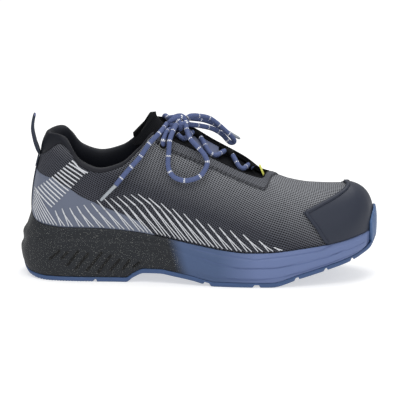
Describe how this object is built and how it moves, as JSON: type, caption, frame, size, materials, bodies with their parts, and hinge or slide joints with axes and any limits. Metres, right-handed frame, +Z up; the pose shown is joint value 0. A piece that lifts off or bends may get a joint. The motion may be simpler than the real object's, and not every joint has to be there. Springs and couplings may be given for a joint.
{
  "type": "safety sneaker",
  "caption": "Low lace-up safety trainer for the right foot: hollow knitted upper with toe cap cover and padded cuff, on a foam midsole and lugged rubber outsole, with a tied lace.",
  "frame": {"origin": "On the floor, under the middle of the shoe's length and width.", "axes": "+X points to the toe, +Y to the medial (inner) side of the right foot, +Z up."},
  "size_m": [0.303, 0.1078, 0.1396],
  "materials": {
    "rubber_blue": "matte blue rubber",
    "foam": "speckled charcoal foam that fades to blue at the forefoot",
    "insole_cloth": "matte cloth over foam",
    "knit": "coarse dark knit",
    "tongue_cloth": "black mesh",
    "film_navy": "moulded matt film, dark navy",
    "film_slate": "thin matt film, slate grey",
    "binding": "dense dark binding",
    "satin": "smooth satin lining over soft foam",
    "ribbon": "woven ribbon",
    "steel": "brushed metal",
    "cord": "round woven lace, blue grey with white dots",
    "tag": "yellow woven tag",
    "clear_tip": "clear grey film tip"
  },
  "bodies": {
    "root": {"outsole": "rubber_blue", "midsole": "foam", "insole": "insole_cloth", "upper": "knit", "toe_cap": "film_navy", "heel_panel": "film_slate", "eyestay": "binding", "collar": "satin", "tongue": "tongue_cloth", "pull_loop": "ribbon", "eyelet_lateral": "steel", "eyelet_medial": "steel", "lace_bars": "cord", "throat_tag": "tag", "lace_knot": "cord", "lace_loop_lateral": "cord", "lace_loop_medial": "cord", "lace_end_lateral": "cord", "lace_end_medial": "cord", "lace_tip_lateral": "clear_tip", "lace_tip_medial": "clear_tip"}
  },
  "joints": []
}
